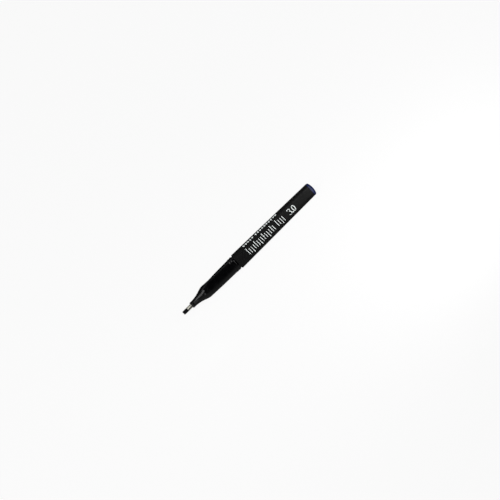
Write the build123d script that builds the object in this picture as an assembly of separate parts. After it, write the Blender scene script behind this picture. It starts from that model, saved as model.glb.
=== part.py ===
from build123d import *
import os

# Calligraphy marker without its cap. Millimetres, +Z up, lying on one flat of its three-sided barrel.
# Every station below is a distance along the pen's own axis from the writing edge (0) to the rear end.
# The nib points to -X. Angles around the axis run from +Y towards +Z.

# ---- overall stations along the axis ----
FERRULE_FRONT = 4.5
NOSE_FRONT = 8.7
SLEEVE_REAR = 18.0
HOLDER_REAR = 35.0
COLLAR_REAR = 56.3
BARREL_FRONT = 57.4
SPIGOT_REAR = 72.0
PLUG_SPIGOT_FRONT = 128.5
BARREL_REAR = 137.0
TOTAL_LENGTH = 139.8

# ---- three-sided sections: distance of the corner centres from the axis, and the corner radius ----
BARREL_CORNER = 2.8
BARREL_RADIUS = 4.27
BARREL_TAPER_DEG = 0.784
BARREL_WALL = 1.3
LIP_ROUND = 0.6
TAIL_ROUND = 2.0
TAIL_DOME = 14.0
FIT_GAP = 0.04

# station, corner centre distance, corner radius: full at the shoulder, scooped for the fingers,
# then swelling towards the barrel
GRIP_SECTIONS = [
    (18.0, 0.6, 5.05),
    (22.0, 0.6, 5.05),
    (24.0, 0.7, 4.92),
    (26.0, 1.6, 4.12),
    (28.5, 3.0, 2.92),
    (31.5, 3.8, 2.22),
    (37.5, 3.3, 2.87),
    (44.0, 2.8, 3.42),
    (50.0, 2.6, 3.68),
    (COLLAR_REAR, 2.5, 3.87),
]

# ---- nose cone, a turned form: station and radius ----
LAND_RADIUS = 2.58
LAND_REAR = 11.6
LAND_CHAMFER = 0.25
NOSE_CURVE = [
    (LAND_REAR, LAND_RADIUS),
    (14.0, 2.84),
    (16.4, 3.28),
    (18.6, 3.90),
    (20.6, 4.58),
    (22.2, 5.28),
    (23.8, 6.10),
    (25.4, 7.10),
]
TURNED_ENVELOPE = 9.0

# ---- behind the finger zone: the cap's catch rib, then the collar, as station and height over the
# straight run from the last two rows above. Both are ramps that the cap slides up. ----
GRIP_REAR_PROFILE = [
    (50.0, 0.0),
    (52.2, 0.0),
    (53.3, 0.20),
    (53.7, 0.20),
    (53.9, 0.0),
    (54.2, 0.0),
    (55.2, 0.18),
    (56.1, 0.18),
    (COLLAR_REAR, 0.05),
]
NECK_DROP = 0.32

# ---- nib, its metal sleeve and the holder ----
NIB_WIDTH = 3.0
NIB_THICK = 1.7
NIB_REAR = 41.0
NIB_TAIL_LENGTH = 4.0
NIB_TAIL_THICK = 0.8
CHISEL_LENGTH = 1.9
CHISEL_EDGE = 0.5
SLEEVE_WALL = 0.15
SLEEVE_CORNER = 0.5
SEAM_WIDTH = 0.95
SEAM_OFFSET = 0.55
HOLDER_RADIUS = 2.55
HOLDER_HEAD_RADIUS = 1.95
HOLDER_STEP = 19.5
HOLDER_FLANGE_RADIUS = 3.2
HOLDER_FLANGE_LENGTH = 1.6
VENT_WIDTH = 0.7
VENT_DEPTH = 0.45
NOSE_HOLE_REAR = 12.4

# ---- ink reservoir ----
RESERVOIR_FRONT = 37.0
RESERVOIR_RADIUS = 3.1
FILM_THICK = 0.1
CAVITY_RADIUS = 3.32
CAVITY_FRONT = 33.4

# ---- end plug ----
PLUG_WALL = 0.9
PLUG_CUP_RADIUS = 2.3
PLUG_CUP_DEPTH = 6.0

# The nib's broad side is parallel to the flat whose normal stands at this angle.
NIB_FACE_ANGLE = 150.0

REST_HEIGHT = BARREL_CORNER / 2 + BARREL_RADIUS


def across(station):
    """Plane square to the pen's axis at a station: its x is +Y, its y is +Z."""
    return Plane.YZ.offset(station)


def three_sided(station, corner, radius):
    """Equilateral section with one corner up and rounded corners."""
    flat = corner / 2 + radius
    triangle = RegularPolygon(radius=2 * flat, side_count=3, rotation=90)
    return across(station) * fillet(triangle.vertices(), radius)


def disc(front, rear, radius):
    """Round bar along the axis between two stations."""
    return extrude(across(front) * Circle(radius), amount=rear - front)


def bar(front, rear, width, thick, corner=0.0):
    """Flat bar along the axis, its broad sides parallel to the nib's face."""
    outline = Rectangle(thick, width)
    if corner > 0:
        outline = fillet(outline.vertices(), corner)
    outline = Rot(0, 0, NIB_FACE_ANGLE) * outline
    return extrude(across(front) * outline, amount=rear - front)


def turned(points):
    """Solid of revolution about the axis from (station, radius) points."""
    outline = Polyline(*[(s, 0, r) for s, r in points], close=True)
    return revolve(make_face(outline), axis=Axis.X)


def make_barrel():
    length = BARREL_REAR - BARREL_FRONT
    outer = extrude(
        three_sided(BARREL_FRONT, BARREL_CORNER, BARREL_RADIUS),
        amount=length,
        taper=BARREL_TAPER_DEG,
    )
    front_edges = outer.faces().sort_by(Axis.X)[0].edges()
    outer = fillet(front_edges, LIP_ROUND)
    bore = extrude(
        three_sided(BARREL_FRONT, BARREL_CORNER, BARREL_RADIUS - BARREL_WALL),
        amount=length,
        taper=BARREL_TAPER_DEG,
    )
    return outer - bore


def bore_radius(station):
    """Corner radius of the barrel's bore at a station."""
    drop = (station - BARREL_FRONT) * tan_deg(BARREL_TAPER_DEG)
    return BARREL_RADIUS - BARREL_WALL - drop


def tan_deg(angle):
    return Vector(1, 0, 0).rotate(Axis.Z, angle).Y / Vector(1, 0, 0).rotate(Axis.Z, angle).X


def make_end_plug():
    shell_radius = bore_radius(BARREL_REAR) + BARREL_WALL
    head = extrude(
        three_sided(BARREL_REAR, BARREL_CORNER, shell_radius),
        amount=TOTAL_LENGTH - BARREL_REAR,
        taper=BARREL_TAPER_DEG,
    )
    head = fillet(head.faces().sort_by(Axis.X)[-1].edges(), TAIL_ROUND)
    head = head & (Pos(TOTAL_LENGTH - TAIL_DOME, 0, 0) * Sphere(TAIL_DOME))
    spigot = extrude(
        three_sided(PLUG_SPIGOT_FRONT, BARREL_CORNER, bore_radius(PLUG_SPIGOT_FRONT) - FIT_GAP),
        amount=BARREL_REAR - PLUG_SPIGOT_FRONT,
        taper=BARREL_TAPER_DEG,
    )
    cup = disc(PLUG_SPIGOT_FRONT, PLUG_SPIGOT_FRONT + PLUG_CUP_DEPTH, PLUG_CUP_RADIUS)
    return head + spigot - cup


def make_grip_section():
    front = loft([three_sided(*row) for row in GRIP_SECTIONS[:3]], ruled=True)
    waist = loft([three_sided(*row) for row in GRIP_SECTIONS[2:-1]])
    rear = loft([three_sided(*raised_section(*row)) for row in GRIP_REAR_PROFILE], ruled=True)
    envelope = turned(
        [(NOSE_CURVE[0][0], 0)]
        + NOSE_CURVE
        + [(NOSE_CURVE[-1][0] + 2, TURNED_ENVELOPE), (COLLAR_REAR, TURNED_ENVELOPE), (COLLAR_REAR, 0)]
    )
    body = (front & envelope) + waist
    front_cone = turned(
        [(NOSE_FRONT, 0), (NOSE_FRONT, LAND_RADIUS - LAND_CHAMFER), (NOSE_FRONT + LAND_CHAMFER, LAND_RADIUS)]
        + [row for row in NOSE_CURVE if row[0] < 20.0]
        + [(20.0, nose_radius(20.0)), (20.0, 0)]
    )
    corner, radius = GRIP_SECTIONS[-1][1:]
    neck = extrude(
        three_sided(COLLAR_REAR, corner, radius - NECK_DROP),
        amount=BARREL_FRONT - COLLAR_REAR,
    )
    spigot = extrude(
        three_sided(BARREL_FRONT, BARREL_CORNER, BARREL_RADIUS - BARREL_WALL - FIT_GAP),
        amount=SPIGOT_REAR - BARREL_FRONT,
        taper=BARREL_TAPER_DEG,
    )
    solid = body + rear + front_cone + neck + spigot
    solid = solid - bar(NOSE_FRONT, NOSE_HOLE_REAR, *sleeve_outside(FIT_GAP))
    solid = solid - disc(NOSE_HOLE_REAR, HOLDER_STEP, HOLDER_HEAD_RADIUS + FIT_GAP)
    solid = solid - disc(HOLDER_STEP, CAVITY_FRONT, HOLDER_RADIUS + FIT_GAP)
    solid = solid - disc(CAVITY_FRONT, SPIGOT_REAR, CAVITY_RADIUS)
    return solid


def raised_section(station, height):
    """Station, corner distance and radius of the grip's rear section, raised by a height."""
    (s0, c0, r0), (s1, c1, r1) = GRIP_SECTIONS[-2:]
    t = (station - s0) / (s1 - s0)
    return station, c0 + (c1 - c0) * t, r0 + (r1 - r0) * t + height


def nose_radius(station):
    """Nose radius between the points of NOSE_CURVE."""
    for (s0, r0), (s1, r1) in zip(NOSE_CURVE, NOSE_CURVE[1:]):
        if s0 <= station <= s1:
            return r0 + (r1 - r0) * (station - s0) / (s1 - s0)
    return LAND_RADIUS


def sleeve_outside(gap=0.0):
    """Width, thickness and corner radius of the metal sleeve, grown by a gap."""
    grow = 2 * (SLEEVE_WALL + gap)
    return NIB_WIDTH + grow, NIB_THICK + grow, SLEEVE_CORNER + gap


def make_sleeve():
    shell = bar(FERRULE_FRONT, SLEEVE_REAR, *sleeve_outside())
    inside = bar(FERRULE_FRONT, SLEEVE_REAR, NIB_WIDTH, NIB_THICK, SLEEVE_CORNER - SLEEVE_WALL)
    half = NIB_THICK / 2 + SLEEVE_WALL
    slot = Box(SLEEVE_REAR - FERRULE_FRONT, 2 * SLEEVE_WALL, SEAM_WIDTH)
    slot = Pos((SLEEVE_REAR + FERRULE_FRONT) / 2, half, SEAM_OFFSET) * slot
    return shell - inside - slot.rotate(Axis.X, NIB_FACE_ANGLE)


def make_nib():
    body = bar(0, NIB_REAR, NIB_WIDTH, NIB_THICK, SLEEVE_CORNER - SLEEVE_WALL)
    half = NIB_THICK / 2
    low = CHISEL_EDGE / 2
    tail = NIB_TAIL_THICK / 2
    outline = Polyline(
        (0, -low, 0),
        (0, low, 0),
        (CHISEL_LENGTH, half, 0),
        (NIB_REAR - NIB_TAIL_LENGTH, half, 0),
        (NIB_REAR, tail, 0),
        (NIB_REAR, -tail, 0),
        (NIB_REAR - NIB_TAIL_LENGTH, -half, 0),
        (CHISEL_LENGTH, -half, 0),
        close=True,
    )
    side_view = extrude(make_face(outline), amount=NIB_WIDTH, both=True)
    return body & side_view.rotate(Axis.X, NIB_FACE_ANGLE)


def make_holder():
    head = disc(NOSE_HOLE_REAR, HOLDER_STEP, HOLDER_HEAD_RADIUS)
    shank = disc(HOLDER_STEP, CAVITY_FRONT, HOLDER_RADIUS)
    flange = disc(CAVITY_FRONT, CAVITY_FRONT + HOLDER_FLANGE_LENGTH, HOLDER_FLANGE_RADIUS)
    holder = head + shank + flange
    holder = holder - bar(NOSE_HOLE_REAR, SLEEVE_REAR, *sleeve_outside())
    holder = holder - bar(SLEEVE_REAR, HOLDER_REAR, NIB_WIDTH, NIB_THICK, SLEEVE_CORNER - SLEEVE_WALL)
    for angle in (60, 240):
        groove = Box(HOLDER_REAR - HOLDER_STEP, VENT_DEPTH * 2, VENT_WIDTH)
        groove = Pos((HOLDER_REAR + HOLDER_STEP) / 2, HOLDER_RADIUS, 0) * groove
        holder = holder - groove.rotate(Axis.X, angle + 90)
    return holder


def make_reservoir():
    core = disc(RESERVOIR_FRONT, PLUG_SPIGOT_FRONT, RESERVOIR_RADIUS)
    return core - make_nib()


def make_film():
    outer = disc(RESERVOIR_FRONT, PLUG_SPIGOT_FRONT, RESERVOIR_RADIUS + FILM_THICK)
    return outer - disc(RESERVOIR_FRONT, PLUG_SPIGOT_FRONT, RESERVOIR_RADIUS)


# Lay the pen on its lower flat, then centre its bounding box over the origin.
laid = Rot(0, BARREL_TAPER_DEG, 0)
nodes = {
    "barrel": make_barrel(),
    "end_plug": make_end_plug(),
    "grip_section": make_grip_section(),
    "nib": make_nib(),
    "nib_sleeve": make_sleeve(),
    "nib_holder": make_holder(),
    "ink_reservoir": make_reservoir(),
    "reservoir_film": make_film(),
}
laid_nodes = {name: laid * shape for name, shape in nodes.items()}
box = Compound(children=[shape.solids()[0] for shape in laid_nodes.values()]).bounding_box()
centred = Pos(-box.center().X, -box.center().Y, -box.min.Z)

os.makedirs("parts", exist_ok=True)
for name, shape in laid_nodes.items():
    export_step(centred * shape, f"parts/{name}.step")
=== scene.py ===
import math

import bmesh
import bpy
from mathutils import Matrix, Vector


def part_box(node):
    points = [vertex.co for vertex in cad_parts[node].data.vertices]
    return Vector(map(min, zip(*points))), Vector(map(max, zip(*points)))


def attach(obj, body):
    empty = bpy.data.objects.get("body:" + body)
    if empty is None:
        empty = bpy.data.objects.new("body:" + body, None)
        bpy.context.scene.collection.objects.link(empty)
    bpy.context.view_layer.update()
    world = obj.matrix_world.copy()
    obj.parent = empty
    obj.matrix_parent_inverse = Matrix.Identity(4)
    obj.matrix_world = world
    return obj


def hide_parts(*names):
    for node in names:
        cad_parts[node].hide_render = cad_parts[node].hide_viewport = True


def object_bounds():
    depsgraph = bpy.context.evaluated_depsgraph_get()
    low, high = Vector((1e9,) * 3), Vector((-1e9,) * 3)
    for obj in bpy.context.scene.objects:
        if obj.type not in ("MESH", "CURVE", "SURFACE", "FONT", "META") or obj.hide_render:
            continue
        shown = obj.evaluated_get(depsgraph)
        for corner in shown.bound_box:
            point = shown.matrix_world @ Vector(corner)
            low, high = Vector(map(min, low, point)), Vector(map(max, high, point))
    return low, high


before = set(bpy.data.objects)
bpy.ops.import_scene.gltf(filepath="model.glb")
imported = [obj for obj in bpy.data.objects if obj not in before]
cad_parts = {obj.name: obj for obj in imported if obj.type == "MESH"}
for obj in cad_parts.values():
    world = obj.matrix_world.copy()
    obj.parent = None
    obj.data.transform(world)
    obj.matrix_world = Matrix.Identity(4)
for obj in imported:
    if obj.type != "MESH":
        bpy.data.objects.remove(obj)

cad_low, cad_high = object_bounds()

# ---------------------------------------------------------------------------------------------
# The pen's own frame: millimetres along its axis from the writing edge (0) to the rear end, and
# degrees round that axis from +Y towards +Z. One matrix lays it on its lower flat, in metres.
# ---------------------------------------------------------------------------------------------
MM = 0.001
TAPER = math.radians(0.784)
FILM_FRONT, FILM_REAR, FILM_RADIUS = 37.0, 128.5, 3.2
film_low, film_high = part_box("reservoir_film")
AXIS_START_X = film_low.x / MM - FILM_FRONT * math.cos(TAPER) + FILM_RADIUS * math.sin(TAPER)
AXIS_START_Z = (film_low.z + film_high.z) / 2 / MM + (FILM_FRONT + FILM_REAR) / 2 * math.sin(TAPER)
LAY_DOWN = (
    Matrix.Diagonal((MM, MM, MM, 1.0))
    @ Matrix.Translation((AXIS_START_X, 0.0, AXIS_START_Z))
    @ Matrix.Rotation(TAPER, 4, "Y")
)
# A circle drawn flat in XY is stood square to the pen's axis by this matrix.
ACROSS = Matrix(((0, 0, 1, 0), (1, 0, 0, 0), (0, 1, 0, 0), (0, 0, 0, 1)))
ROUND_STEPS = 144

# ---- stations along the axis ----
SLEEVE_FRONT, NOSE_FRONT, NOSE_HOLE_REAR, SLEEVE_REAR = 4.5, 8.7, 12.4, 18.0
HOLDER_STEP, CAVITY_FRONT = 19.5, 33.4
COLLAR_REAR, BARREL_FRONT, SPIGOT_REAR = 56.3, 57.4, 72.0
PLUG_SPIGOT_FRONT, PLUG_CUP_REAR, BARREL_REAR, REAR_END = 128.5, 134.5, 137.0, 139.8

# ---- three-sided sections ----
BARREL_CORNER, BARREL_RADIUS, BARREL_WALL, FIT_GAP = 2.8, 4.266, 1.3, 0.04
LIP_ROUND, TAIL_ROUND, TAIL_DOME, TAIL_BLEND = 0.6, 2.5, 14.0, 0.5
GRIP_SIDE_RADIUS = 30.0
GRIP_SECTIONS = [
    (18.0, 0.6, 5.05),
    (22.0, 0.6, 5.05),
    (24.0, 0.7, 4.92),
    (26.0, 1.6, 4.12),
    (28.5, 3.0, 2.92),
    (31.5, 3.8, 2.22),
    (37.5, 3.3, 2.87),
    (44.0, 2.8, 3.42),
    (50.0, 2.6, 3.68),
    (COLLAR_REAR, 2.5, 3.87),
]
NECK_DROP = 0.32

# ---- turned nose: station and radius; then catch rib and collar: station and height ----
LAND_RADIUS, LAND_CHAMFER, LAND_REAR = 2.58, 0.25, 11.6
NOSE_CURVE = [
    (LAND_REAR, LAND_RADIUS),
    (14.0, 2.84),
    (16.4, 3.28),
    (18.6, 3.90),
    (20.6, 4.58),
    (22.2, 5.28),
    (23.8, 6.10),
    (25.4, 7.10),
    (28.0, 8.80),
]
RIB_HEIGHTS = [
    (52.2, 0.0), (53.3, 0.20), (53.7, 0.20), (53.9, 0.0),
    (54.2, 0.0), (55.2, 0.18), (56.1, 0.18), (COLLAR_REAR, 0.05),
]
SHOULDER_ROUND = 1.2

# ---- nib and sleeve ----
NIB_WIDTH, NIB_THICK, NIB_REAR, NIB_FACE = 3.0, 1.7, 41.0, 150.0
NIB_TAIL_LENGTH, NIB_TAIL_THICK = 4.0, 0.8
CHISEL_LENGTH, CHISEL_EDGE, NIB_CORNER, TIP_ROUND = 1.9, 0.5, 0.21, 0.09
SLEEVE_WALL, SLEEVE_CORNER = 0.15, 0.5
SEAM_WIDTH, SEAM_OFFSET = 0.95, 0.55
TURN_NIB = Matrix.Rotation(math.radians(NIB_FACE), 3, "X")

# ---- printing on the barrel: station along, millimetres round from the middle of the flat ----
PRINT_FACE, INK_HEIGHT, WRAP_STEP = 150.0, 0.014, 0.35
PEN_SLANT, PEN_HAIRLINE = 38.0, 0.22
DRILL_RUNS = ((69.2, 14), (100.4, 4))
DRILL_PITCH, DRILL_WIDTH, DRILL_LEAN = 2.1, 0.56, 0.12
DRILL_TOP, DRILL_RISER, DRILL_FOOT, DRILL_FALLER = 1.8, 3.3, -2.6, -3.7
LOZENGE_RUNS = ((69.6, 5), (82.6, 10))
LOZENGE_PITCH, LOZENGE_LINE, LOZENGE_SIZE = 2.35, 6.1, 1.12
DIGIT_WIDTH, DIGIT_SLANT = 0.62, 12.0

# ---- light and camera ----
WALL_GLOW, CEILING_GLOW, TABLE_GLOW = 0.4, 0.005, (0.36, 0.04)
# name, place, target, size and radiance of each soft box
LIGHTS = (
    ("nib_side", (-0.63, -0.26, 0.78), (0, 0, 0), (0.48, 0.78), 3.8),
    ("nose_card", (-0.088, -0.068, 0.130), (-0.060, 0, 0.006), (0.04, 0.07), 1.5),
    ("back_strip", (0, 0.30, 0.85), (0, 0, 0), (1.2, 0.36), 0.7),
    ("rear_side", (0.145, -0.14, 0.11), (0.065, 0, 0), (0.12, 0.12), 7.8),
    ("nib_card", (-0.0725, -0.056, 0.027), (-0.066, 0, 0.006), (0.013, 0.024), 1.7),
)
CAMERA_ELEVATION, CAMERA_DISTANCE, CAMERA_LENS = 41.0, 1.613, 150.0
IMAGE_TURN = 45.0
AIM_RIGHT, AIM_UP = 0.00196, -0.00026


def line_height(points, x):
    """Height of a straight-run line through (x, height) points."""
    for (x0, y0), (x1, y1) in zip(points, points[1:]):
        if x0 <= x <= x1:
            return y0 + (y1 - y0) * (x - x0) / (x1 - x0)
    return points[0][1] if x < points[0][0] else points[-1][1]


def smooth_curve(points, x):
    """Values of a smooth line through (x, value, ...) points."""
    if x <= points[0][0]:
        return points[0][1:]
    if x >= points[-1][0]:
        return points[-1][1:]
    index = max(i for i in range(len(points) - 1) if points[i][0] <= x)
    before, start = points[max(index - 1, 0)], points[index]
    end, after = points[index + 1], points[min(index + 2, len(points) - 1)]
    span = end[0] - start[0]
    t = (x - start[0]) / span
    values = []
    for k in range(1, len(start)):
        slope_in = (end[k] - before[k]) / (end[0] - before[0]) * span
        slope_out = (after[k] - start[k]) / (after[0] - start[0]) * span
        values.append(
            (2 * t**3 - 3 * t**2 + 1) * start[k]
            + (t**3 - 2 * t**2 + t) * slope_in
            + (3 * t**2 - 2 * t**3) * end[k]
            + (t**3 - t**2) * slope_out
        )
    return tuple(values)


def blended_min(a, b, width):
    """The smaller of two radii, with the crease between them rounded over."""
    h = max(width - abs(a - b), 0.0) / width
    return min(a, b) - h * h * width / 4


def three_sided(corner, radius, side=1000.0):
    """Distance from the axis to a three-sided outline, as a function of the angle: corner arcs of
    one radius, joined smoothly by sides that bow out with the radius side."""
    half = corner * math.sin(math.radians(60))
    back = math.sqrt(side**2 - half**2) - corner / 2
    edge_turn = math.asin(half / side)

    def distance(angle):
        from_corner = abs((math.degrees(angle) - 90 + 60) % 120 - 60)
        from_flat = math.radians(60 - from_corner)
        reach = math.sqrt((side + radius) ** 2 - (back * math.sin(from_flat)) ** 2)
        reach -= back * math.cos(from_flat)
        if math.atan2(reach * math.sin(from_flat), reach * math.cos(from_flat) + back) <= edge_turn:
            return reach
        turn = math.radians(from_corner)
        return corner * math.cos(turn) + math.sqrt(radius**2 - (corner * math.sin(turn)) ** 2)

    return distance


def round_outline(radius):
    return lambda angle: radius


def flat_outline(width, thick, corner):
    """Rounded rectangle whose broad sides are parallel to the nib's face."""

    def distance(angle):
        turn = angle - math.radians(NIB_FACE)
        x, y = abs(math.cos(turn)), abs(math.sin(turn))
        reach = min(thick / 2 / max(x, 1e-9), width / 2 / max(y, 1e-9))
        cx, cy = thick / 2 - corner, width / 2 - corner
        if reach * x > cx and reach * y > cy:
            b = x * cx + y * cy
            reach = b + math.sqrt(max(b * b - cx * cx - cy * cy + corner * corner, 0.0))
        return reach

    return distance


def barrel_radius(station):
    return BARREL_RADIUS - (station - BARREL_FRONT) * math.tan(TAPER)


def barrel_row(station, inset=0.0):
    return station, three_sided(BARREL_CORNER, barrel_radius(station) - inset)


def grip_row(station, inset=0.0):
    corner, radius = smooth_curve(GRIP_SECTIONS, station)
    radius += line_height(RIB_HEIGHTS, station)
    body = three_sided(corner, radius, GRIP_SIDE_RADIUS)
    nose = smooth_curve(NOSE_CURVE, station)[0]
    return station, lambda angle: blended_min(body(angle), nose, SHOULDER_ROUND) - inset


def front_edge(station, size, steps=6):
    """(station, inset) pairs round an edge that starts in a front face and ends in the wall."""
    turns = [math.radians(90 * i / steps) for i in range(steps + 1)]
    return [(station + size * (1 - math.cos(t)), size * (1 - math.sin(t))) for t in turns]


def rear_edge(station, size, steps=6):
    """(station, inset) pairs round an edge that starts in the wall and ends in a rear face."""
    return [(2 * station - s, inset) for s, inset in reversed(front_edge(station, size, steps))]


def stations(start, end, spacing):
    count = max(round((end - start) / spacing), 1)
    return [start + (end - start) * i / count for i in range(count + 1)]


def skin(rows, closed):
    """Mesh drawn ring by ring along the axis: each row is a station and its outline."""
    bm = bmesh.new()
    bmesh.ops.create_circle(
        bm, cap_ends=False, segments=ROUND_STEPS, radius=1.0, matrix=ACROSS
    )
    ring_verts, ring_edges = list(bm.verts), list(bm.edges)
    angles = {vert: math.atan2(vert.co.z, vert.co.y) for vert in ring_verts}
    first_edges = ring_edges
    for number, (station, outline) in enumerate(rows):
        if number:
            for vert in ring_verts:
                angle = angles[vert]
                vert.co = (vert.co.x, math.cos(angle), math.sin(angle))
            grown = bmesh.ops.extrude_edge_only(bm, edges=ring_edges)["geom"]
            new_verts = [g for g in grown if isinstance(g, bmesh.types.BMVert)]
            inside = set(new_verts)
            for vert in new_verts:
                angles[vert] = math.atan2(vert.co.z, vert.co.y)
            new_edges = [
                g for g in grown
                if isinstance(g, bmesh.types.BMEdge) and set(g.verts) <= inside
            ]
            place_ring(ring_verts, angles, *rows[number - 1])
            ring_verts, ring_edges = new_verts, new_edges
        place_ring(ring_verts, angles, station, outline)
    if closed:
        bmesh.ops.bridge_loops(bm, edges=ring_edges + first_edges)
    bmesh.ops.remove_doubles(bm, verts=bm.verts, dist=1e-4)
    bmesh.ops.recalc_face_normals(bm, faces=bm.faces)
    return bm


def place_ring(verts, angles, station, outline):
    for vert in verts:
        angle = angles[vert]
        reach = outline(angle)
        vert.co = (station, reach * math.cos(angle), reach * math.sin(angle))


def outwardness(face):
    """Positive where a face looks away from the pen's axis."""
    centre = face.calc_center_median()
    return face.normal.dot(Vector((0, centre.y, centre.z)))


def finish_piece(bm, name, node, material, sharp_deg=40):
    """Lays the mesh down in the part's frame and makes it a piece that stands for a CAD node."""
    bmesh.ops.transform(bm, matrix=LAY_DOWN, verts=bm.verts)
    mesh = bpy.data.meshes.new(name)
    bm.to_mesh(mesh)
    bm.free()
    mesh.polygons.foreach_set("use_smooth", [True] * len(mesh.polygons))
    mesh.set_sharp_from_angle(angle=math.radians(sharp_deg))
    mesh.materials.append(material)
    piece = bpy.data.objects.new(name, mesh)
    bpy.context.scene.collection.objects.link(piece)
    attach(piece, "root")
    if node:
        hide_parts(node)
    return piece


# ---------------------------------------------------------------------------------------------
# Materials
# ---------------------------------------------------------------------------------------------
def srgb(hex_colour):
    """sRGB hex to linear RGBA."""
    channels = [int(hex_colour[i:i + 2], 16) / 255 for i in (1, 3, 5)]
    linear = [c / 12.92 if c <= 0.04045 else ((c + 0.055) / 1.055) ** 2.4 for c in channels]
    return (*linear, 1.0)


def per_mm(size_mm):
    """Noise scale whose grains are about this many millimetres across."""
    return 1.0 / (size_mm * MM)


def add_node(tree, kind, settings=None, inputs=None, links=None):
    """Adds a node with its settings, its socket values, and its links from (node, output) pairs."""
    node = tree.nodes.new(kind)
    for key, value in (settings or {}).items():
        setattr(node, key, value)
    for key, value in (inputs or {}).items():
        node.inputs[key].default_value = value
    for key, (source, output) in (links or {}).items():
        tree.links.new(source.outputs[output], node.inputs[key])
    return node


def surface(name, colours, roughness, grain_mm, bump_mm, strength, stretch=(1, 1, 1),
            cloud_mm=12.0, **shader_values):
    """A surface with two scales of its own: a grain that mottles its colour and stands up as bump,
    and a slow cloud that takes its gloss from one roughness to the other."""
    material = bpy.data.materials.new(name)
    material.use_nodes = True
    tree = material.node_tree
    shader = tree.nodes["Principled BSDF"]
    for key, value in shader_values.items():
        shader.inputs[key.replace("_", " ")].default_value = value
    coords = add_node(tree, "ShaderNodeTexCoord")
    place = add_node(
        tree, "ShaderNodeMapping", inputs={"Scale": stretch}, links={"Vector": (coords, "Object")}
    )
    grain = add_node(
        tree, "ShaderNodeTexNoise",
        inputs={"Scale": per_mm(grain_mm), "Detail": 3.0, "Roughness": 0.55},
        links={"Vector": (place, "Vector")},
    )
    cloud = add_node(
        tree, "ShaderNodeTexNoise", inputs={"Scale": per_mm(cloud_mm), "Detail": 3.0},
        links={"Vector": (coords, "Object")},
    )
    shade = add_node(
        tree, "ShaderNodeMapRange", inputs={"From Min": 0.3, "From Max": 0.7},
        links={"Value": (grain, "Fac")},
    )
    colour = add_node(
        tree, "ShaderNodeMix", {"data_type": "RGBA"},
        inputs={6: srgb(colours[0]), 7: srgb(colours[1])}, links={0: (shade, "Result")},
    )
    gloss = add_node(
        tree, "ShaderNodeMapRange",
        inputs={"From Min": 0.35, "From Max": 0.65, "To Min": roughness[0], "To Max": roughness[1]},
        links={"Value": (cloud, "Fac")},
    )
    bump = add_node(
        tree, "ShaderNodeBump", inputs={"Strength": strength, "Distance": bump_mm * MM},
        links={"Height": (grain, "Fac")},
    )
    tree.links.new(colour.outputs[2], shader.inputs["Base Color"])
    tree.links.new(gloss.outputs["Result"], shader.inputs["Roughness"])
    tree.links.new(bump.outputs["Normal"], shader.inputs["Normal"])
    return material


# Polypropylene moulded in a spark-eroded tool: a black that reads as dark grey, with an even satin
# grain. The grain is really 0.05 mm and is drawn at 0.3 mm, so that it shows. The blacks' sheen is
# held low, because carbon-black plastic has to stay dark in a room of pale walls.
barrel_plastic = surface(
    "spark_eroded_polypropylene", ("#060606", "#0c0c0c"), (0.44, 0.54), 0.3, 0.02, 0.35,
    IOR=1.49, Specular_IOR_Level=0.14,
)
# Styrene plastic moulded in a polished tool: a deep black with clear reflections, dulled a little
# where fingers hold it, and with the faint ripple of a thick moulding.
grip_plastic = surface(
    "polished_moulded_plastic", ("#030304", "#050506"), (0.15, 0.22), 2.5, 0.05, 0.06,
    cloud_mm=5.0, IOR=1.5, Specular_IOR_Level=0.28,
)
# Dark blue polypropylene: semi-gloss, with a shallower grain than the barrel's. It is really
# 0.05 mm and is drawn at 0.4 mm, so that it shows.
plug_plastic = surface(
    "blue_polypropylene", ("#081236", "#0d1a48"), (0.34, 0.44), 0.4, 0.02, 0.15,
    IOR=1.49, Specular_IOR_Level=0.28,
)
# Acrylic fibres bonded side by side and soaked with black ink: dull, near black, finely ridged
# along the nib. They are really 0.02 mm thick and are drawn at 0.12 mm, so that they show.
nib_fibre = surface(
    "ink_soaked_acrylic_fibre", ("#010103", "#08070c"), (0.5, 0.75), 0.12, 0.04, 0.5,
    (0.05, 1, 1), 1.5, IOR=1.4, Specular_IOR_Level=0.18,
)
# Polyester fibre core, soaked with ink: matt and almost black, ridged along the pen.
reservoir_fibre = surface(
    "ink_soaked_polyester_fibre", ("#08070c", "#1b1922"), (0.75, 0.9), 0.2, 0.05, 0.6,
    (0.05, 1, 1), 6.0, IOR=1.4,
)
# Thin nickel-plated sheet: bright, warm grey, with faint drawing lines along it that stretch its
# highlights. The lines are really 0.01 mm apart and are drawn at 0.15 mm.
sleeve_nickel = surface(
    "nickel_plated_sheet", ("#d2d1c4", "#efeddf"), (0.20, 0.32), 0.15, 0.02, 0.25,
    (0.03, 1, 1), 2.0, Metallic=1.0,
)
# White pad-printing ink: a thin semi-matt film that lets a little of the black through where it
# lies thin on the grain, which is drawn at 0.35 mm as under it.
print_ink = surface(
    "white_pad_printing_ink", ("#ccd3d1", "#eef3f1"), (0.42, 0.55), 0.35, 0.01, 0.2,
    cloud_mm=3.0, IOR=1.5,
)
# Uncoloured acetal of the hidden holder: milky, waxy and smooth.
holder_plastic = surface(
    "natural_acetal", ("#d6d6cf", "#e6e6df"), (0.36, 0.48), 1.5, 0.02, 0.1,
    cloud_mm=4.0, IOR=1.48,
)
# Clear film wrapped round the core: glossy, creased along its length, grey from the ink behind it.
reservoir_wrap = surface(
    "clear_film_wrap", ("#3a3b42", "#6a6c74"), (0.12, 0.28), 1.2, 0.06, 0.4,
    (0.1, 1, 1), 4.0, IOR=1.5,
)


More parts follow.
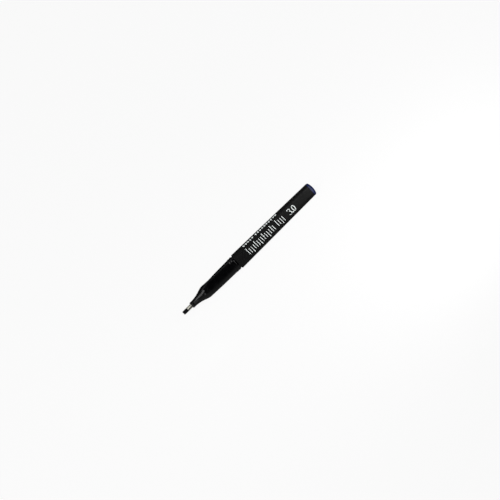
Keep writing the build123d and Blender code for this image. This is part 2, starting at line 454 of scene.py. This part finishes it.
# ---------------------------------------------------------------------------------------------
# Barrel: a tapered three-sided shell, open at both ends until the grip and the plug close it
# ---------------------------------------------------------------------------------------------
def make_barrel():
    rows = [barrel_row(s, BARREL_WALL) for s in stations(BARREL_REAR, BARREL_FRONT + 0.3, -6.0)]
    rows.append(barrel_row(BARREL_FRONT, BARREL_WALL - 0.2))
    rows += [barrel_row(s, inset) for s, inset in front_edge(BARREL_FRONT, LIP_ROUND)]
    rows += [barrel_row(s) for s in stations(BARREL_FRONT + 1.2, BARREL_REAR - 0.6, 2.0)]
    rows += [barrel_row(s, inset) for s, inset in rear_edge(BARREL_REAR, 0.12, 3)]
    shell = skin(rows, True)
    return finish_piece(shell, "barrel_shell", "barrel", barrel_plastic)


def domed_row(station, inset):
    """A row of the plug's end, trimmed by a shallow dome."""
    corner = barrel_row(station, inset)[1]
    dome = math.sqrt(TAIL_DOME**2 - (station - REAR_END + TAIL_DOME) ** 2)
    return station, lambda angle: blended_min(corner(angle), dome, TAIL_BLEND)


def make_end_plug():
    cup = (
        (PLUG_CUP_REAR, 0.0), (PLUG_CUP_REAR, 2.3), (PLUG_SPIGOT_FRONT + 0.2, 2.3),
        (PLUG_SPIGOT_FRONT, 2.45),
    )
    rows = [(station, round_outline(radius)) for station, radius in cup]
    rows += [barrel_row(PLUG_SPIGOT_FRONT, BARREL_WALL + FIT_GAP + 0.3)]
    rows += [barrel_row(PLUG_SPIGOT_FRONT + 0.3, BARREL_WALL + FIT_GAP)]
    rows += [barrel_row(BARREL_REAR - 0.01, BARREL_WALL + FIT_GAP)]
    rows += [barrel_row(s + 0.01, inset) for s, inset in front_edge(BARREL_REAR, 0.14, 3)]
    rows += [domed_row(s, inset) for s, inset in rear_edge(REAR_END, TAIL_ROUND, 16)[:-1]]
    rows += [(REAR_END, round_outline(0.0))]
    plug = skin(rows, False)
    return finish_piece(plug, "end_plug_moulding", "end_plug", plug_plastic)


def make_grip():
    width = NIB_WIDTH + 2 * SLEEVE_WALL + 2 * FIT_GAP
    thick = NIB_THICK + 2 * SLEEVE_WALL + 2 * FIT_GAP
    corner = SLEEVE_CORNER + FIT_GAP
    hole = flat_outline(width, thick, corner)
    rows = [(NOSE_HOLE_REAR, hole), (NOSE_FRONT + 0.12, hole)]
    rows += [(NOSE_FRONT, flat_outline(width + 0.2, thick + 0.2, corner + 0.1))]
    rows += [
        (s, round_outline(LAND_RADIUS - inset))
        for s, inset in front_edge(NOSE_FRONT, LAND_CHAMFER, 5)
    ]
    rows += [(LAND_REAR - 0.6, round_outline(LAND_RADIUS))]
    rows += [grip_row(s) for s in stations(LAND_REAR, 20.0, 0.4)]
    rows += [grip_row(s) for s in stations(20.2, 28.0, 0.2)]
    rows += [grip_row(s) for s in stations(28.5, 51.0, 0.75)]
    rows += [grip_row(s) for s in stations(51.2, COLLAR_REAR - 0.2, 0.1)]
    rows += [grip_row(COLLAR_REAR)]
    neck_corner, neck_radius = GRIP_SECTIONS[-1][1:]
    neck = three_sided(neck_corner, neck_radius - NECK_DROP)
    rows += [(COLLAR_REAR, neck), (BARREL_FRONT - 0.01, neck)]
    rows += [barrel_row(BARREL_FRONT - 0.01, BARREL_WALL + FIT_GAP)]
    rows += [barrel_row(SPIGOT_REAR, BARREL_WALL + FIT_GAP)]
    bores = ((SPIGOT_REAR, 3.32), (CAVITY_FRONT, 3.32), (CAVITY_FRONT, 2.59), (HOLDER_STEP, 2.59))
    rows += [(s, round_outline(r)) for s, r in bores]
    rows += [(HOLDER_STEP, round_outline(1.99)), (NOSE_HOLE_REAR, round_outline(1.99))]
    grip = skin(rows, True)
    return finish_piece(grip, "grip_moulding", "grip_section", grip_plastic)


# ---------------------------------------------------------------------------------------------
# Nib and sleeve
# ---------------------------------------------------------------------------------------------
def make_nib():
    """Flat fibre bar, ground to a chisel edge in front and to a wedge tail behind."""
    bm = bmesh.new()
    bmesh.ops.create_cube(bm, size=1.0)
    bmesh.ops.scale(bm, vec=(NIB_REAR, NIB_THICK, NIB_WIDTH), verts=bm.verts)
    bmesh.ops.translate(bm, vec=(NIB_REAR / 2, 0, 0), verts=bm.verts)
    for station in (CHISEL_LENGTH, NIB_REAR - NIB_TAIL_LENGTH):
        bmesh.ops.bisect_plane(
            bm, geom=bm.verts[:] + bm.edges[:] + bm.faces[:], plane_co=(station, 0, 0),
            plane_no=(1, 0, 0),
        )
    front = [v for v in bm.verts if v.co.x < 0.01]
    bmesh.ops.scale(bm, vec=(1, CHISEL_EDGE / NIB_THICK, 1), verts=front)
    tail = [v for v in bm.verts if v.co.x > NIB_REAR - 0.01]
    bmesh.ops.scale(bm, vec=(1, NIB_TAIL_THICK / NIB_THICK, 1), verts=tail)
    long_edges = [
        e for e in bm.edges
        if abs(e.verts[0].co.x - e.verts[1].co.x) > 1.0
        and NIB_REAR - NIB_TAIL_LENGTH > min(e.verts[0].co.x, e.verts[1].co.x)
    ]
    bmesh.ops.bevel(
        bm, geom=long_edges, affect="EDGES", offset=NIB_CORNER, segments=4, profile=0.5,
        material=-1, clamp_overlap=True,
    )
    tip_edges = [e for e in bm.edges if max(e.verts[0].co.x, e.verts[1].co.x) < 0.01]
    bmesh.ops.bevel(
        bm, geom=tip_edges, affect="EDGES", offset=TIP_ROUND, segments=3, profile=0.5, material=-1,
        clamp_overlap=True,
    )
    for station in stations(2.5, 8.5, 1.0):
        bmesh.ops.bisect_plane(
            bm, geom=bm.verts[:] + bm.edges[:] + bm.faces[:], plane_co=(station, 0, 0),
            plane_no=(1, 0, 0),
        )
    bmesh.ops.rotate(bm, cent=(0, 0, 0), matrix=TURN_NIB, verts=bm.verts)
    bmesh.ops.recalc_face_normals(bm, faces=bm.faces)
    return finish_piece(bm, "chisel_nib", "nib", nib_fibre, 35)


def make_sleeve():
    """Sheet bent round the nib: its two edges meet at an open seam on the broad side."""
    bm = bmesh.new()
    bmesh.ops.create_grid(bm, x_segments=1, y_segments=1, size=0.5, matrix=ACROSS)
    bmesh.ops.scale(bm, vec=(1, NIB_THICK + SLEEVE_WALL, NIB_WIDTH + SLEEVE_WALL), verts=bm.verts)
    bmesh.ops.bevel(
        bm, geom=bm.verts[:], affect="VERTICES", offset=SLEEVE_CORNER - SLEEVE_WALL / 2, segments=8,
        profile=0.5, material=-1,
    )
    bmesh.ops.delete(bm, geom=bm.faces[:], context="FACES_ONLY")
    for side in (-1, 1):
        bmesh.ops.bisect_plane(
            bm, geom=bm.verts[:] + bm.edges[:],
            plane_co=(0, 0, SEAM_OFFSET + side * SEAM_WIDTH / 2), plane_no=(0, 0, 1),
        )
    seam = [
        e for e in bm.edges
        if min(v.co.y for v in e.verts) > 0.1
        and abs((e.verts[0].co.z + e.verts[1].co.z) / 2 - SEAM_OFFSET) < SEAM_WIDTH / 2 - 0.01
        and abs(e.verts[0].co.z - e.verts[1].co.z) > SEAM_WIDTH / 2
    ]
    bmesh.ops.delete(bm, geom=seam, context="EDGES")
    bmesh.ops.translate(bm, vec=(SLEEVE_FRONT, 0, 0), verts=bm.verts)
    edges = bm.edges[:]
    for step in (0.5, 1.2, 1.2, 1.2, 0.5, SLEEVE_REAR - SLEEVE_FRONT - 4.6):
        grown = bmesh.ops.extrude_edge_only(bm, edges=edges)["geom"]
        verts = [g for g in grown if isinstance(g, bmesh.types.BMVert)]
        inside = set(verts)
        edges = [g for g in grown if isinstance(g, bmesh.types.BMEdge) and set(g.verts) <= inside]
        bmesh.ops.translate(bm, vec=(step, 0, 0), verts=verts)
    bmesh.ops.recalc_face_normals(bm, faces=bm.faces)
    if sum(outwardness(face) for face in bm.faces) < 0:
        bmesh.ops.reverse_faces(bm, faces=bm.faces)
    bmesh.ops.solidify(bm, geom=bm.faces[:], thickness=SLEEVE_WALL)
    bmesh.ops.rotate(bm, cent=(0, 0, 0), matrix=TURN_NIB, verts=bm.verts)
    bmesh.ops.recalc_face_normals(bm, faces=bm.faces)
    return finish_piece(bm, "sheet_sleeve", "nib_sleeve", sleeve_nickel, 35)


# ---------------------------------------------------------------------------------------------
# Printing: broad-nib pen strokes, drawn flat, wrapped on the barrel and given the ink's thickness
# ---------------------------------------------------------------------------------------------
def barrel_point(station, around, height):
    """Point on the barrel's surface, this many millimetres round from the printed flat's middle
    (positive towards the top corner), raised by height."""
    normal = Vector((0, math.cos(math.radians(PRINT_FACE)), math.sin(math.radians(PRINT_FACE))))
    tangent = Vector((0, normal.z, -normal.y))
    half = BARREL_CORNER * math.sin(math.radians(60))
    radius = barrel_radius(station) + height
    beyond = max(abs(around) - half, 0.0)
    side = math.copysign(1.0, around)
    turn = beyond / barrel_radius(station)
    centre = normal * (BARREL_CORNER / 2) + tangent * (side * min(abs(around), half))
    out = normal * math.cos(turn) + tangent * (side * math.sin(turn))
    return Vector((station, 0, 0)) + centre + out * radius


def pen_stroke(bm, path, width, slant=PEN_SLANT):
    """Ribbon along a path, wide across the pen's slant and thin along it."""
    pen = math.radians(slant)
    previous = None
    for index, point in enumerate(path):
        before, after = path[max(index - 1, 0)], path[min(index + 1, len(path) - 1)]
        heading = math.atan2(after[1] - before[1], after[0] - before[0])
        broad = math.hypot(width * math.sin(heading - pen), PEN_HAIRLINE * math.cos(heading - pen))
        across = Vector((-math.sin(heading), math.cos(heading), 0)) * broad / 2
        here = Vector((point[0], point[1], 0))
        if previous is None:
            pair = [bm.verts.new(here - across), bm.verts.new(here + across)]
            previous = bm.edges.new(pair)
            left, right = pair
            continue
        grown = bmesh.ops.extrude_edge_only(bm, edges=[previous])["geom"]
        previous = next(
            g for g in grown
            if isinstance(g, bmesh.types.BMEdge) and left not in g.verts and right not in g.verts
        )
        left, right = sorted(previous.verts, key=lambda v: (v.co - left.co).length)
        left.co, right.co = here - across, here + across


def arc(cx, cy, rx, ry, start, end, steps=18):
    turns = [math.radians(start + (end - start) * i / steps) for i in range(steps + 1)]
    return [(cx + rx * math.cos(t), cy + ry * math.sin(t)) for t in turns]


def lozenge(bm, x, y, size):
    """The mark that a broad nib leaves when it is only set down."""
    half = size / 2
    pen_stroke(bm, [(x - half, y + half), (x, y), (x + half, y - half)], size * 1.25)


def drill(bm, start, count):
    """A pen drill of upright strokes: every fourth one rises, and the one halfway between falls."""
    for index in range(count):
        x = start + DRILL_PITCH * index
        top = DRILL_RISER if index % 4 == 0 else DRILL_TOP
        foot = DRILL_FALLER if index % 4 == 2 else DRILL_FOOT
        pen_stroke(bm, [(x - DRILL_LEAN, top), (x + DRILL_LEAN, foot)], DRILL_WIDTH)


def make_print():
    """Pen drill, a row of lozenges above it and the nib's size number, as a film of ink."""
    bm = bmesh.new()
    for start, count in DRILL_RUNS:
        drill(bm, start, count)
    for start, count in LOZENGE_RUNS:
        for index in range(count):
            lozenge(bm, start + LOZENGE_PITCH * index, LOZENGE_LINE, LOZENGE_SIZE)
    for path in (
        arc(113.3, 1.0, 1.25, 1.2, 150, -80),
        arc(113.3, -1.35, 1.4, 1.35, 85, -150),
        arc(117.8, -0.25, 1.1, 2.35, 100, 460, 36),
    ):
        pen_stroke(bm, path, DIGIT_WIDTH, DIGIT_SLANT)
    lozenge(bm, 115.7, -2.35, 0.7)
    for cut in stations(-8.0, 10.0, WRAP_STEP):
        bmesh.ops.bisect_plane(
            bm, geom=bm.verts[:] + bm.edges[:] + bm.faces[:], plane_co=(0, cut, 0),
            plane_no=(0, 1, 0),
        )
    for vert in bm.verts:
        vert.co = barrel_point(vert.co.x, vert.co.y, INK_HEIGHT)
    bmesh.ops.recalc_face_normals(bm, faces=bm.faces)
    for face in bm.faces:
        if outwardness(face) < 0:
            face.normal_flip()
    bmesh.ops.solidify(bm, geom=bm.faces[:], thickness=INK_HEIGHT * 0.8)
    bmesh.ops.recalc_face_normals(bm, faces=bm.faces)
    return finish_piece(bm, "white_print", None, print_ink)


make_barrel()
make_end_plug()
make_grip()
make_nib()
make_sleeve()
make_print()

for node, material in (
    ("nib_holder", holder_plastic),
    ("ink_reservoir", reservoir_fibre),
    ("reservoir_film", reservoir_wrap),
):
    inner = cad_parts[node]
    if inner.material_slots:
        inner.material_slots[0].material = material
    else:
        inner.data.materials.append(material)


# ---------------------------------------------------------------------------------------------
# Floor, light and camera
# ---------------------------------------------------------------------------------------------
def make_floor():
    """Pale paper, lit so evenly that it hardly takes a shadow."""
    bm = bmesh.new()
    bmesh.ops.create_grid(bm, x_segments=1, y_segments=1, size=6.0)
    mesh = bpy.data.meshes.new("floor")
    bm.to_mesh(mesh)
    bm.free()
    mesh.materials.append(surface(
        "pale_paper", ("#404040", "#484848"), (0.85, 0.95), 0.5, 0.02, 0.05,
        Specular_IOR_Level=0.0, Emission_Color=(1, 1, 1, 1), Emission_Strength=0.93,
    ))
    floor = bpy.data.objects.new("floor", mesh)
    floor.visible_glossy = False
    bpy.context.scene.collection.objects.link(floor)


def area_light(name, place, target, size, radiance):
    """Soft box: radiance is how bright its face looks, whatever its size."""
    data = bpy.data.lights.new(name, "AREA")
    data.shape, data.size, data.size_y = "RECTANGLE", size[0], size[1]
    data.energy = radiance * math.pi * size[0] * size[1]
    light = bpy.data.objects.new(name, data)
    light.location = place
    light.visible_camera = False
    light.rotation_mode = "QUATERNION"
    light.rotation_quaternion = (Vector(target) - Vector(place)).to_track_quat("-Z", "Y")
    bpy.context.scene.collection.objects.link(light)


def make_world():
    """Studio walls: a pale band at the horizon, a table that reflects softly in front of the pen
    and hardly behind it, and dim overhead."""
    world = bpy.data.worlds.new("studio")
    world.use_nodes = True
    tree = world.node_tree
    background = tree.nodes["Background"]
    coords = add_node(tree, "ShaderNodeTexCoord")
    toward = add_node(tree, "ShaderNodeSeparateXYZ", links={"Vector": (coords, "Generated")})
    wall_top = add_node(
        tree, "ShaderNodeMapRange",
        inputs={"From Min": 0.14, "From Max": 0.24, "To Min": WALL_GLOW, "To Max": CEILING_GLOW},
        links={"Value": (toward, "Z")},
    )
    table = add_node(
        tree, "ShaderNodeMapRange",
        inputs={
            "From Min": -0.4, "From Max": 0.3, "To Min": TABLE_GLOW[0], "To Max": TABLE_GLOW[1],
        },
        links={"Value": (toward, "Y")},
    )
    above = add_node(
        tree, "ShaderNodeMapRange", inputs={"From Min": -0.10, "From Max": -0.04},
        links={"Value": (toward, "Z")},
    )
    glow = add_node(
        tree, "ShaderNodeMix", {"data_type": "FLOAT"},
        links={0: (above, "Result"), 2: (table, "Result"), 3: (wall_top, "Result")},
    )
    background.inputs["Color"].default_value = (1.0, 1.0, 1.0, 1.0)
    tree.links.new(glow.outputs[0], background.inputs["Strength"])
    bpy.context.scene.world = world


def make_camera():
    centre = (cad_low + cad_high) / 2
    rise = math.radians(CAMERA_ELEVATION)
    back = Vector((0, -math.cos(rise), math.sin(rise)))
    flat_right, flat_up = Vector((1, 0, 0)), Vector((0, math.sin(rise), math.cos(rise)))
    turn = math.radians(IMAGE_TURN)
    right = flat_right * math.cos(turn) - flat_up * math.sin(turn)
    up = flat_right * math.sin(turn) + flat_up * math.cos(turn)
    data = bpy.data.cameras.new("camera")
    data.lens, data.sensor_width = CAMERA_LENS, 36.0
    data.clip_start, data.clip_end = 0.05, 50.0
    camera = bpy.data.objects.new("camera", data)
    camera.rotation_mode = "QUATERNION"
    camera.location = centre + back * CAMERA_DISTANCE + right * AIM_RIGHT + up * AIM_UP
    camera.rotation_quaternion = Matrix((right, up, back)).transposed().to_quaternion()
    bpy.context.scene.collection.objects.link(camera)
    bpy.context.scene.camera = camera


make_floor()
make_world()
for light in LIGHTS:
    area_light(*light)
make_camera()

scene = bpy.context.scene
scene.view_settings.view_transform = "Standard"
scene.view_settings.look = "None"
